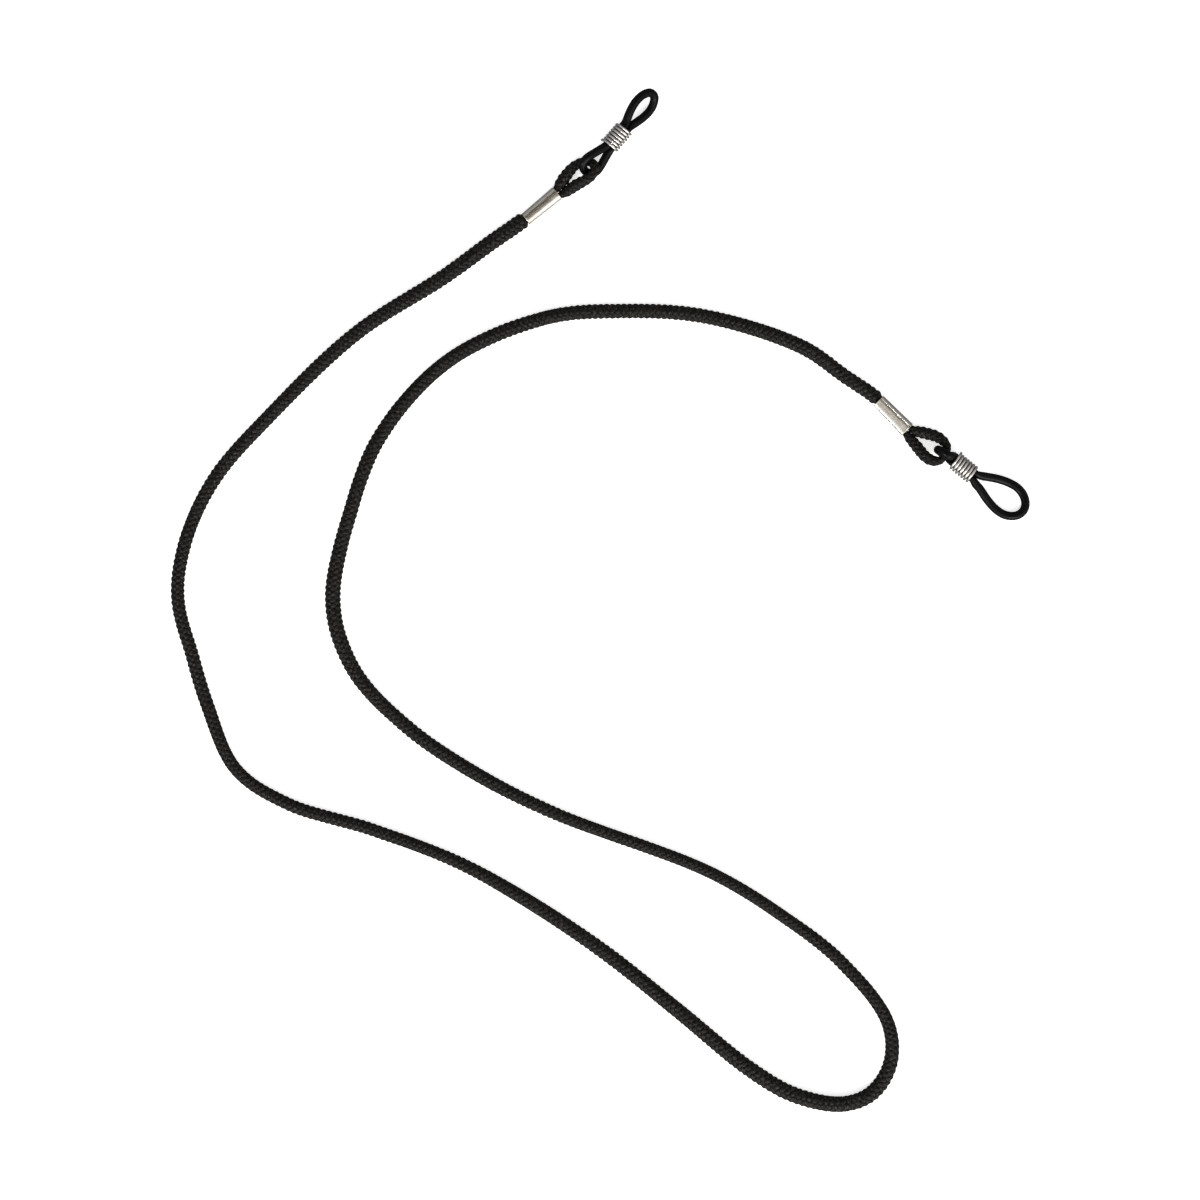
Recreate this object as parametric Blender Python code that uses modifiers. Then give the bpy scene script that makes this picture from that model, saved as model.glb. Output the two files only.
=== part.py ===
"""Eyeglass retainer strap: a braided neck cord with an adjustable rubber temple loop on each end.

The strap lies loose on a flat surface, z = 0.  Each end of the cord is folded back into a small eye
and crimped in a metal ferrule.  A closed rubber ring is linked through each eye, and a wire coil
squeezes the ring into a figure of eight; the coil slides along the ring and sets the size of the
temple loop.  Lengths are in metres, +Z is up, and the origin is under the middle of the end fittings.
"""
import math

import bmesh
import bpy
from mathutils import Vector

MM = 0.001

# Braided cord
CORD_RADIUS = 1.4 * MM
CORD_GAP = 0.3 * MM            # between the free cord and a ferrule's mouth
CORD_POINTS = 80

# Crimp ferrules, rolled from sheet
FERRULE_LENGTH = 9.2 * MM
FERRULE_WALL = 0.3 * MM
FERRULE_HEIGHT = 3.0 * MM
FERRULE_WIDTH_CORD_END = 2.95 * MM
FERRULE_WIDTH_EYE_END = 3.4 * MM
FERRULE_CORNER = 1.05 * MM
SEAM_GAP = 0.14 * MM
SEAL_RADIUS = 0.48 * MM

# Rubber rings
RUBBER_RADIUS = 0.975 * MM
PINCHED_RADIUS = 0.75 * MM     # each leg inside its coil
LEG_OFFSET = 0.8 * MM          # each leg's distance from the coil's axis
LEG_OVERHANG = 0.45 * MM       # how far a leg stays pinched beyond each end of the coil

# Wire coils
COIL_TURNS = 7
COIL_PITCH = 0.78 * MM
COIL_RADIUS = 1.9 * MM         # to the middle of the wire
WIRE_RADIUS = 0.275 * MM
POINTS_PER_TURN = 12

# Where each ferrule's eye end sits, and the way it points, in degrees from +X.
MOUTH = {"a": (-0.04915, 0.0250), "b": (0.0296, -0.0282)}
HEADING = {"a": 39.5, "b": -45.4}

# The free cord's route from ferrule a to ferrule b.
ROUTE = [
    (-0.0565, 0.0190), (-0.0640, 0.0139), (-0.0746, 0.0062), (-0.0942, -0.0064),
    (-0.1134, -0.0246), (-0.1262, -0.0392), (-0.1327, -0.0531), (-0.1345, -0.0660),
    (-0.1311, -0.0795), (-0.1279, -0.0900), (-0.1215, -0.1045), (-0.1099, -0.1123),
    (-0.0910, -0.1181), (-0.0715, -0.1255), (-0.0558, -0.1342), (-0.0383, -0.1459),
    (-0.0216, -0.1592), (-0.0059, -0.1720), (0.0043, -0.1779), (0.0152, -0.1799),
    (0.0220, -0.1772), (0.0260, -0.1700), (0.0250, -0.1610), (0.0144, -0.1476),
    (0.0024, -0.1382), (-0.0145, -0.1279), (-0.0504, -0.1142), (-0.0681, -0.1052),
    (-0.0830, -0.0950), (-0.0948, -0.0824), (-0.0996, -0.0675), (-0.0955, -0.0461),
    (-0.0887, -0.0292), (-0.0735, -0.0126), (-0.0516, -0.0030), (-0.0345, -0.0015),
    (-0.0159, -0.0027), (0.0060, -0.0096), (0.0155, -0.0161), (0.0229, -0.0214),
]

# Each eye in its ferrule's own frame, in millimetres: forward, left, up and the cord's radius there.
# Forward is measured from the ferrule's eye end, along its axis.
RUN_STRAND = [
    (-9.0, 0.0, 1.5, 0.55), (-8.4, 0.12, 1.5, 0.55), (-7.7, 0.46, 1.5, 0.55), (-6.8, 0.62, 1.5, 0.55),
    (-3.4, 0.62, 1.5, 0.55), (-0.4, 0.68, 1.5, 0.58), (0.1, 0.74, 1.5, 0.62),
]
TAIL_STRAND = [
    (0.1, -0.74, 1.5, 0.62), (-0.4, -0.68, 1.5, 0.58), (-3.4, -0.62, 1.5, 0.55), (-6.2, -0.6, 1.5, 0.52),
]
EYE = {
    "a": [
        (0.75, 0.98, 1.5, 0.8), (1.6, 1.45, 1.45, 1.1), (3.0, 1.85, 1.42, 1.32), (4.6, 2.05, 1.42, 1.36),
        (6.2, 2.25, 1.4, 1.25), (7.8, 2.2, 1.4, 1.06), (9.1, 1.75, 1.7, 1.0), (10.05, 0.85, 2.25, 1.0),
        (10.35, -0.14, 2.75, 1.0), (10.05, -1.1, 3.25, 1.0), (9.1, -1.85, 3.55, 1.0),
        (7.8, -2.1, 3.5, 1.05), (6.2, -1.75, 3.05, 1.2), (4.6, -1.4, 2.4, 1.3), (3.0, -1.3, 1.8, 1.2),
        (1.6, -1.2, 1.5, 0.98), (0.75, -0.98, 1.5, 0.8),
    ],
    "b": [
        (0.75, 0.96, 1.5, 0.8), (1.8, 1.45, 1.55, 1.08), (3.5, 2.45, 1.7, 1.22), (5.8, 3.6, 2.05, 1.2),
        (7.9, 3.9, 2.45, 1.05), (9.4, 3.25, 2.75, 0.9), (10.0, 2.16, 2.9, 0.84), (10.2, 1.05, 2.9, 0.9),
        (9.85, -0.05, 2.8, 1.05), (8.6, -1.0, 2.55, 1.18), (6.8, -1.35, 2.15, 1.22), (3.9, -1.1, 1.7, 1.22),
        (1.8, -0.98, 1.5, 0.95), (0.75, -0.96, 1.5, 0.8),
    ],
}
SEAL = (-7.05, -0.6, 1.5)

# Each ring's link round its eye, in the ferrule's frame, in millimetres and degrees: the middle of the
# bend, its radius, half the angle that it turns through, and the heading and roll of its plane.
LINK = {
    "a": {"middle": (10.35, -0.14, 2.75), "radius": 2.4, "half_turn": 90.0, "heading": -8.0, "roll": 46.0},
    "b": {"middle": (10.0, 2.16, 2.9), "radius": 1.9, "half_turn": 112.0, "heading": 15.4, "roll": 90.0},
}
# Each coil: the near end of its axis, its heading, and the roll of the legs that go in and come out.
COIL = {
    "a": {"start": (15.9, 0.84, 2.75), "heading": 10.0, "roll_in": 46.0, "roll_out": 43.0},
    "b": {"start": (12.4, 2.66, 2.6), "heading": 6.0, "roll_in": 90.0, "roll_out": 0.0},
}
COIL_LENGTH = COIL_TURNS * COIL_PITCH

# Temple loops, in millimetres from the coil's near end: forward, sideways and up in the loop's plane.
TEMPLE = {
    "a": [
        (6.9, 1.12, 0.0), (8.2, 1.65, 0.0), (9.7, 2.15, 0.0), (11.2, 2.4, 0.0), (12.7, 2.25, 0.0),
        (13.9, 1.7, 0.0), (14.75, 0.9, 0.0), (15.0, 0.0, 0.0), (14.75, -0.9, 0.0), (13.9, -1.7, 0.0),
        (12.7, -2.25, 0.0), (11.2, -2.4, 0.0), (9.7, -2.15, 0.0), (8.2, -1.65, 0.0), (6.9, -1.12, 0.0),
    ],
    "b": [
        (6.9, 1.15, -0.1), (8.4, 1.9, -0.4), (10.3, 2.86, -0.9), (12.8, 3.75, -1.35), (15.0, 4.1, -1.55),
        (17.1, 3.7, -1.6), (18.6, 2.55, -1.6), (19.2, 1.2, -1.6), (18.85, -0.35, -1.6),
        (17.7, -1.6, -1.6), (15.9, -2.4, -1.55), (13.6, -2.5, -1.35), (11.0, -2.1, -0.95),
        (8.6, -1.45, -0.45), (6.9, -1.12, -0.1),
    ],
}


# --- curves -------------------------------------------------------------------------------------

def smooth(points, steps, before=None, after=None, closed=False):
    """A smooth curve through points of any dimension, with steps stretches between each two."""
    points = [Vector(p) for p in points]
    if closed:
        line = [points[-1]] + points + points[:2]
    else:
        first = Vector(before) if before else 2 * points[0] - points[1]
        last = Vector(after) if after else 2 * points[-1] - points[-2]
        line = [first] + points + [last]
    curve = []
    for p0, p1, p2, p3 in zip(line, line[1:], line[2:], line[3:]):
        gap_0 = math.sqrt((p1 - p0).length)
        gap_1 = math.sqrt((p2 - p1).length)
        gap_2 = math.sqrt((p3 - p2).length)
        slope_1 = ((p1 - p0) / gap_0 - (p2 - p0) / (gap_0 + gap_1)) * gap_1 + (p2 - p1)
        slope_2 = ((p3 - p2) / gap_2 - (p3 - p1) / (gap_1 + gap_2)) * gap_1 + (p2 - p1)
        for step in range(steps):
            t = step / steps
            curve.append(
                (2 * t**3 - 3 * t**2 + 1) * p1 + (t**3 - 2 * t**2 + t) * slope_1
                + (3 * t**2 - 2 * t**3) * p2 + (t**3 - t**2) * slope_2
            )
    if not closed:
        curve.append(points[-1])
    return curve


def evenly(curve, count):
    """The curve's points, read again at count places the same distance apart."""
    along = [0.0]
    for a, b in zip(curve, curve[1:]):
        along.append(along[-1] + (b - a).length)
    even = []
    k = 0
    for i in range(count):
        want = along[-1] * i / (count - 1)
        while k < len(curve) - 2 and along[k + 1] < want:
            k += 1
        share = (want - along[k]) / (along[k + 1] - along[k])
        even.append(curve[k].lerp(curve[k + 1], share))
    return even


def direction(heading):
    """The level direction at a heading in degrees."""
    angle = math.radians(heading)
    return Vector((math.cos(angle), math.sin(angle), 0.0))


def sideways(heading, roll):
    """The direction across a heading, to its left, tipped up by roll; both in degrees."""
    tip = math.radians(roll)
    return direction(heading + 90.0) * math.cos(tip) + Vector((0.0, 0.0, math.sin(tip)))


# --- scene and materials ------------------------------------------------------------------------

def clear_scene():
    for item in list(bpy.data.objects):
        bpy.data.objects.remove(item)


def make_collection(name):
    collection = bpy.data.collections.new(name)
    bpy.context.scene.collection.children.link(collection)
    return collection


def make_material(name, colour, roughness, metallic):
    material = bpy.data.materials.new(name)
    material.use_nodes = True
    shader = material.node_tree.nodes["Principled BSDF"]
    shader.inputs["Base Color"].default_value = (*colour, 1.0)
    shader.inputs["Roughness"].default_value = roughness
    shader.inputs["Metallic"].default_value = metallic
    return material


def braid_material():
    return make_material("black_braid", (0.012, 0.011, 0.010), 0.75, 0.0)


def sealed_end_material():
    return make_material("melted_cord_end", (0.010, 0.010, 0.010), 0.35, 0.0)


def ferrule_material():
    return make_material("nickel_ferrule", (0.62, 0.60, 0.56), 0.28, 1.0)


def rubber_material():
    return make_material("black_rubber", (0.010, 0.010, 0.011), 0.42, 0.0)


def coil_material():
    return make_material("nickel_wire", (0.72, 0.70, 0.67), 0.2, 1.0)


def add_empty(name, location, heading, parent, collection):
    empty = bpy.data.objects.new(name, None)
    empty.empty_display_size = 2.0 * MM
    empty.location = location
    empty.rotation_euler = (0.0, 0.0, math.radians(heading))
    empty.parent = parent
    collection.objects.link(empty)
    return empty


def add_tube(name, points, radii, material, parent, collection, closed=False):
    """A round tube along the points, with a radius at each of them."""
    curve = bpy.data.curves.new(name, "CURVE")
    curve.dimensions = "3D"
    curve.bevel_mode = "ROUND"
    curve.bevel_depth = max(radii)
    curve.bevel_resolution = 2
    curve.use_fill_caps = not closed
    spline = curve.splines.new("POLY")
    spline.points.add(len(points) - 1)
    for place, point, radius in zip(spline.points, points, radii):
        place.co = (*point, 1.0)
        place.radius = radius / max(radii)
    spline.use_cyclic_u = closed
    spline.use_smooth = True
    curve.materials.append(material)
    tube = bpy.data.objects.new(name, curve)
    tube.parent = parent
    collection.objects.link(tube)
    return tube


# --- the cord -----------------------------------------------------------------------------------

def make_cord_run(material, collection):
    """The free cord, from one ferrule's mouth to the other's, lying on the surface."""
    lead = 8.0 * MM
    start = Vector(ROUTE[0]) + lead * direction(HEADING["a"]).to_2d()
    end = Vector(ROUTE[-1]) + lead * direction(HEADING["b"]).to_2d()
    line = smooth(ROUTE, 12, before=start, after=end)
    points = [(p.x, p.y, CORD_RADIUS) for p in evenly(line, CORD_POINTS)]
    return add_tube("cord_run", points, [CORD_RADIUS] * len(points), material, None, collection)


def make_eye(end, material, base, collection):
    """The cord's folded end: the running strand, the eye, and the tail back inside the ferrule."""
    line = smooth(RUN_STRAND + EYE[end] + TAIL_STRAND, 2)
    points = [Vector(p[:3]) * MM for p in line]
    radii = [p[3] * MM for p in line]
    return add_tube(f"cord_eye_{end}", points, radii, material, base, collection)


def make_seal(end, material, base, collection):
    """The bead that stops the tail fraying, where its end was melted."""
    mesh = bpy.data.meshes.new(f"cord_seal_{end}")
    body = bmesh.new()
    bmesh.ops.create_uvsphere(body, u_segments=12, v_segments=8, radius=SEAL_RADIUS)
    body.to_mesh(mesh)
    body.free()
    mesh.materials.append(material)
    mesh.shade_smooth()
    seal = bpy.data.objects.new(f"cord_seal_{end}", mesh)
    seal.location = Vector(SEAL) * MM
    seal.parent = base
    collection.objects.link(seal)
    return seal


# --- the ferrules -------------------------------------------------------------------------------

def ferrule_section(width, seam_side):
    """The ferrule's outline across its axis, as (left, up): a box with round corners, open at the seam."""
    flat = width / 2 - FERRULE_CORNER
    middle = FERRULE_HEIGHT / 2
    rise = middle - FERRULE_CORNER
    steps = 6
    outline = []
    corners = [(1, 1, 0), (-1, 1, 90), (-1, -1, 180), (1, -1, 270)]
    for side, top, turn in corners:
        for step in range(steps + 1):
            angle = math.radians(turn + 90.0 * step / steps)
            outline.append((
                side * flat + FERRULE_CORNER * math.cos(angle),
                middle + top * rise + FERRULE_CORNER * math.sin(angle),
            ))
    # The seam splits the round corner on its own side, on top.
    split = steps - 1 if seam_side > 0 else steps + 2
    outline = outline[split:] + outline[:split + 1]
    first, second = Vector(outline[0]), Vector(outline[1])
    last, before = Vector(outline[-1]), Vector(outline[-2])
    outline[0] = tuple(first + (second - first).normalized() * SEAM_GAP / 2)
    outline[-1] = tuple(last + (before - last).normalized() * SEAM_GAP / 2)
    return outline


def make_ferrule(end, seam_side, material, base, collection):
    """A sheet-metal sleeve crimped flat above and below, a little wider where both strands enter."""
    mesh = bpy.data.meshes.new(f"ferrule_{end}")
    body = bmesh.new()
    stations = 5
    rings = []
    for station in range(stations):
        share = station / (stations - 1)
        width = FERRULE_WIDTH_CORD_END + (FERRULE_WIDTH_EYE_END - FERRULE_WIDTH_CORD_END) * share
        forward = -FERRULE_LENGTH * (1.0 - share)
        section = ferrule_section(width, seam_side)
        rings.append([body.verts.new((forward, left, up)) for left, up in section])
    for near, far in zip(rings, rings[1:]):
        for i in range(len(near) - 1):
            body.faces.new((near[i], near[i + 1], far[i + 1], far[i]))
    body.normal_update()
    body.to_mesh(mesh)
    body.free()
    mesh.materials.append(material)
    mesh.shade_smooth()
    ferrule = bpy.data.objects.new(f"ferrule_{end}", mesh)
    ferrule.parent = base
    collection.objects.link(ferrule)
    wall = ferrule.modifiers.new("wall", "SOLIDIFY")
    wall.thickness = FERRULE_WALL
    wall.offset = -1.0
    return ferrule


# --- the rubber rings ---------------------------------------------------------------------------

def link_points(end):
    """The bend round the cord's eye, from the lower leg to the upper one, with the rubber's radius."""
    link = LINK[end]
    middle = Vector(link["middle"]) * MM
    ahead = direction(link["heading"])
    across = sideways(link["heading"], link["roll"])
    bend = link["radius"] * MM
    points = []
    for step in range(9):
        angle = math.radians(link["half_turn"]) * (step / 4 - 1.0)
        place = middle + bend * (math.sin(angle) * across - math.cos(angle) * ahead)
        points.append((*place, RUBBER_RADIUS))
    return points


def leg_points(end, side):
    """One leg inside the coil, from its near end to its far end; side is 1 or -1."""
    coil = COIL[end]
    start = Vector(coil["start"]) * MM
    ahead = direction(coil["heading"])
    points = []
    for step in range(7):
        share = step / 6
        roll = coil["roll_in"] + (coil["roll_out"] - coil["roll_in"]) * share
        forward = -LEG_OVERHANG + (COIL_LENGTH + 2 * LEG_OVERHANG) * share
        across = sideways(coil["heading"], roll)
        points.append((*(start + forward * ahead + side * LEG_OFFSET * across), PINCHED_RADIUS))
    return points


def temple_points(end):
    """The temple loop beyond the coil, from its left arm round to its right arm."""
    coil = COIL[end]
    start = Vector(coil["start"]) * MM
    ahead = direction(coil["heading"])
    across = sideways(coil["heading"], coil["roll_out"])
    points = []
    for forward, left, up in TEMPLE[end]:
        place = start + (forward * ahead + left * across + Vector((0.0, 0.0, up))) * MM
        points.append((*place, RUBBER_RADIUS))
    return points


def make_ring(end, material, swing, collection):
    """One closed rubber ring: the link, up through the coil, round the temple loop and back."""
    hinge = Vector(LINK[end]["middle"]) * MM
    outward = leg_points(end, 1)
    homeward = leg_points(end, -1)[::-1]
    around = link_points(end) + outward + temple_points(end) + homeward
    line = smooth(around, 2, closed=True)
    points = [Vector(p[:3]) - hinge for p in line]
    radii = [p[3] for p in line]
    return add_tube(f"rubber_ring_{end}", points, radii, material, swing, collection, closed=True)


# --- the coils ----------------------------------------------------------------------------------

def make_coil(end, material, slide, collection):
    """A close-wound right-handed wire coil along its own +X axis."""
    points = []
    for step in range(COIL_TURNS * POINTS_PER_TURN + 1):
        turn = step / POINTS_PER_TURN
        angle = math.tau * turn
        points.append((COIL_PITCH * turn, COIL_RADIUS * math.cos(angle), COIL_RADIUS * math.sin(angle)))
    return add_tube(f"coil_{end}", points, [WIRE_RADIUS] * len(points), material, slide, collection)


# --- the strap ----------------------------------------------------------------------------------

def make_end(end, materials, collection):
    """Everything crimped to, or linked to, one end of the cord."""
    base = add_empty(f"end_{end}", (*MOUTH[end], 0.0), HEADING[end], None, collection)
    seam_side = {"a": -1, "b": 1}[end]
    make_ferrule(end, seam_side, materials["ferrule"], base, collection)
    make_eye(end, materials["braid"], base, collection)
    make_seal(end, materials["seal"], base, collection)
    hinge = Vector(LINK[end]["middle"]) * MM
    swing = add_empty(f"swing_{end}", hinge, 0.0, base, collection)
    make_ring(end, materials["rubber"], swing, collection)
    start = Vector(COIL[end]["start"]) * MM
    slide = add_empty(f"slide_{end}", start - hinge, COIL[end]["heading"], swing, collection)
    make_coil(end, materials["coil"], slide, collection)


def main():
    clear_scene()
    collection = make_collection("eyeglass_retainer_strap")
    materials = {
        "braid": braid_material(),
        "seal": sealed_end_material(),
        "ferrule": ferrule_material(),
        "rubber": rubber_material(),
        "coil": coil_material(),
    }
    make_cord_run(materials["braid"], collection)
    for end in ("a", "b"):
        make_end(end, materials, collection)


main()
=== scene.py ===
"""Looks of the eyeglass retainer strap: woven cord, crimped ferrules, rubber rings and wire coils.

Everything is in the CAD model's frame, in metres: the strap lies on z = 0 and the camera looks
straight down at it.  Each end has its own level frame at its ferrule's eye end; the tables of the two
ends are in millimetres in that frame, as forward, left and up.
"""
import math

import bmesh
import bpy
import numpy as np
from mathutils import Matrix, Vector

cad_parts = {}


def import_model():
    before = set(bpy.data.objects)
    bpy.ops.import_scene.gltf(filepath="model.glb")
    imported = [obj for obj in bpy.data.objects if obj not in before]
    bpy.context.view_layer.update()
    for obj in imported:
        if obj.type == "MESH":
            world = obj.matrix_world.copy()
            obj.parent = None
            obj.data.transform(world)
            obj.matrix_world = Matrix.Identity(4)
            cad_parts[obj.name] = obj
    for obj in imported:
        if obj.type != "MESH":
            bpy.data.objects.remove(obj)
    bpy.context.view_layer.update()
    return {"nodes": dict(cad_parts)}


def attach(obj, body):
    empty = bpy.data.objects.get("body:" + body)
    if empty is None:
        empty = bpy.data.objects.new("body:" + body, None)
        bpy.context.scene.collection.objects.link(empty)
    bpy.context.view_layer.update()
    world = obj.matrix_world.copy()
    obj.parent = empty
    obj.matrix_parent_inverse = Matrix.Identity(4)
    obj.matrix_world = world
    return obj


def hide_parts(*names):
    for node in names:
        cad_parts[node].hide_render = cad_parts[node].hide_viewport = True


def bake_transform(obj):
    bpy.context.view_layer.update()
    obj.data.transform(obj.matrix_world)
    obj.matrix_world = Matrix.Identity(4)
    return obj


MM = 0.001

# Where each ferrule's eye end sits, and the way it points, in degrees from +X.
MOUTH = {"a": (-0.04915, 0.0250), "b": (0.0296, -0.0282)}
HEADING = {"a": 39.5, "b": -45.4}

# The free cord's route from ferrule a to ferrule b.
ROUTE = [
    (-0.0566, 0.0191), (-0.0640, 0.0139), (-0.0746, 0.0062), (-0.0942, -0.0064),
    (-0.1134, -0.0246), (-0.1262, -0.0392), (-0.1327, -0.0531), (-0.1345, -0.0660),
    (-0.1311, -0.0795), (-0.1279, -0.0900), (-0.1215, -0.1045), (-0.1099, -0.1123),
    (-0.0910, -0.1181), (-0.0715, -0.1255), (-0.0558, -0.1342), (-0.0383, -0.1459),
    (-0.0216, -0.1592), (-0.0059, -0.1720), (0.0043, -0.1779), (0.0152, -0.1799),
    (0.0220, -0.1772), (0.0260, -0.1700), (0.0250, -0.1610), (0.0144, -0.1476),
    (0.0024, -0.1382), (-0.0145, -0.1279), (-0.0504, -0.1142), (-0.0681, -0.1052),
    (-0.0830, -0.0950), (-0.0948, -0.0824), (-0.0996, -0.0675), (-0.0955, -0.0461),
    (-0.0887, -0.0292), (-0.0735, -0.0126), (-0.0516, -0.0030), (-0.0345, -0.0015),
    (-0.0159, -0.0027), (0.0060, -0.0096), (0.0155, -0.0161), (0.0230, -0.0213),
]
# The cord's width, in millimetres, at some of the route's points: the braid is soft and uneven.
CORD_WIDTH = [
    (0, 3.3), (1, 3.3), (3, 2.95), (5, 2.75), (7, 2.6), (9, 2.7), (10, 2.5), (13, 2.5), (14, 2.9),
    (16, 3.15), (17, 3.25), (19, 3.3), (20, 3.15), (21, 2.9), (22, 2.65), (25, 2.35), (26, 2.5),
    (27, 2.85), (28, 2.85), (29, 3.0), (30, 3.15), (31, 2.9), (33, 2.95), (34, 2.9), (36, 2.9),
    (37, 3.0), (38, 2.85), (39, 2.85),
]
CORD_RADIUS = 1.4 * MM
CREST = 0.3 * MM               # how far the yarns' crests stand out at each side of that width
CORD_STEP = 0.2 * MM           # between the points of its finished centre line
CORD_AIM = 8.0 * MM            # how far beyond its ends it aims, along each ferrule's heading
CORD_INSIDE = 1.3 * MM         # how far it runs into each ferrule

# Where a ferrule grips the cord.
PINCH_LENGTH = 0.9 * MM        # the squeeze is full this far from the cord's ends
PINCH_FADE = 1.1 * MM          # and is gone this far on
PINCHED_HALF_WIDTH = 1.2 * MM
PINCHED_HALF_HEIGHT = 1.15 * MM

# The braid: eight flattened yarns, four each way round, each over one and under one.
LAY = 5.2 * MM                 # length of one yarn's full turn
CROSSINGS = 8                  # in one turn
YARN_HALF_WIDTH = 0.53 * MM
YARN_HALF_THICKNESS = 0.23 * MM
WEAVE_DEPTH = 0.19 * MM        # how far a yarn rises and falls from its middle
YARN_SIDES = 8
RINGS_PER_TURN = 24
FIRST_ANGLE = 22.5             # where the first yarn starts, in degrees round the cord
# The cord's slow twist, as waves along it: radians, turns of the lay per radian of the wave, and phase.
TWIST = [(0.45, 6.1, 0.0), (0.3, 2.3, 1.0)]
UNEVENNESS = 0.05              # how far each yarn's width and lift stray, as a share
# How far each yarn's surface texture is shifted along it, in millimetres, so that no two are alike.
TEXTURE_SHIFT_STRAND = 37.0
TEXTURE_SHIFT_WAY = 11.0
# The core between the yarns.
CORE_SHARE = 0.68              # of the cord's own half sizes
CORE_SIDES = 12

EYE_STEP = 0.15 * MM           # between the points of an eye's finished centre line
# Each eye in its ferrule's frame: forward, left, up and the cord's radius there.
RUN_STRAND = [
    (-9.0, 0.0, 1.5, 0.55), (-8.4, 0.12, 1.5, 0.55), (-7.7, 0.46, 1.5, 0.55), (-6.8, 0.62, 1.5, 0.55),
    (-3.4, 0.62, 1.5, 0.55), (-0.4, 0.66, 1.5, 0.62), (0.1, 0.7, 1.5, 0.7),
]
TAIL_STRAND = [
    (0.1, -0.7, 1.5, 0.7), (-0.4, -0.66, 1.5, 0.62), (-3.4, -0.62, 1.5, 0.55), (-6.2, -0.6, 1.5, 0.52),
]
EYE = {
    "a": [
        (0.75, 0.87, 1.5, 0.98), (1.6, 1.12, 1.47, 1.3), (3.0, 1.48, 1.44, 1.48), (4.6, 1.93, 1.42, 1.4),
        (6.2, 2.2, 1.4, 1.29), (7.8, 2.2, 1.4, 1.12), (9.1, 1.75, 1.7, 1.08), (10.05, 0.85, 2.25, 1.1),
        (10.4, -0.14, 2.75, 1.12), (10.1, -1.1, 3.25, 1.12), (9.1, -1.9, 3.55, 1.14),
        (7.8, -2.12, 3.5, 1.22), (6.2, -1.82, 3.05, 1.36), (4.6, -1.42, 2.4, 1.42), (3.0, -1.2, 1.8, 1.38),
        (1.6, -1.06, 1.5, 1.2), (0.75, -0.87, 1.5, 0.96),
    ],
    "b": [
        (0.75, 0.87, 1.5, 0.96), (1.8, 1.3, 1.55, 1.34), (3.5, 2.4, 1.7, 1.43), (5.8, 3.62, 2.05, 1.36),
        (7.9, 3.92, 2.45, 1.15), (9.4, 3.3, 2.75, 0.9), (10.0, 2.16, 2.9, 0.76), (10.2, 1.0, 2.9, 0.85),
        (9.85, -0.1, 2.8, 1.08), (8.6, -1.08, 2.55, 1.34), (6.8, -1.4, 2.15, 1.38), (3.9, -1.08, 1.7, 1.4),
        (1.8, -0.96, 1.5, 1.2), (0.75, -0.87, 1.5, 0.96),
    ],
}

# Ferrules
FERRULE_LENGTH = 9.2 * MM
FERRULE_WALL = 0.3 * MM
FERRULE_HEIGHT = 3.0 * MM
FERRULE_WIDTH_CORD_END = 2.95 * MM
FERRULE_WIDTH_EYE_END = 3.4 * MM
SEAM_GAP_CORD_END = 0.04 * MM
SEAM_GAP_EYE_END = 0.12 * MM
FERRULE_SIDES = 80
RIM = 0.05                     # the share of the length that flares at each end
FLARE = 0.02                   # how much wider the flare makes the rim, as a share
EDGE_RADIUS = 0.12 * MM
# How square each section is, how far its top leans to its right, and where round it the seam lies.
FERRULE = {
    "a": {"power": 2.9, "roll": 9.0, "seam": 150.0},
    "b": {"power": 4.2, "roll": 14.5, "seam": 57.0},
}

# Rubber rings and coils
RUBBER_RADIUS = 0.975 * MM
LEG_OFFSET = 0.78 * MM         # of each leg from the coil's axis
LEG_OVERHANG = 0.45 * MM       # how far the straight legs reach past the coil's ends
FLATTENED = 0.2                # how much thinner the coil squeezes each leg towards its axis
SPREAD = 0.28                  # and how much wider it makes it the other way
SQUEEZE_INSIDE = 0.2 * MM      # the squeeze starts to fade this far inside the coil's ends
SQUEEZE_FADE = 1.9 * MM        # and is gone this far on
RING_STEP = 0.16 * MM          # between the points of a ring's finished centre line
RUBBER_SIDES = 28
COIL_GRIP = 0.3 * MM           # a point this far inside the coil's near end is worked out for the link half, but not used
# Each link's middle, its bend's radius in millimetres, and in degrees half of the bend, its heading and tip.
LINK = {
    "a": {"middle": (10.35, -0.14, 2.75), "radius": 2.4, "half_turn": 90.0, "heading": -8.0, "roll": 46.0},
    "b": {"middle": (10.0, 2.16, 2.9), "radius": 2.05, "half_turn": 112.0, "heading": 14.5, "roll": 90.0},
}
COIL_LENGTH = 5.46 * MM
COIL_TURNS = 6.5
COIL_PITCH = 0.78 * MM
COIL_RADIUS = 1.9 * MM
WIRE_RADIUS = 0.315 * MM
WIRE_SIDES = 16
CUT_END = 0.8                  # the wire's radius at its cut ends, as a share
SPRUNG_TURN = 0.25             # this much of the first turn stands out
SPRUNG_OUT = 0.3 * MM          # by this much at its end
WAVER = 0.035 * MM             # how far the turns stray along the axis
# Each coil's near end and heading, how the pair of legs is tipped as it enters and leaves, in degrees, and
# where its wire starts along its axis, in millimetres.
COIL = {
    "a": {"start": (15.9, 0.6, 2.75), "heading": 10.0, "roll_in": 46.0, "roll_out": 43.0, "first": -0.2},
    "b": {"start": (12.4, 2.66, 2.6), "heading": 6.0, "roll_in": 30.0, "roll_out": 0.0, "first": 0.0},
}
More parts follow.
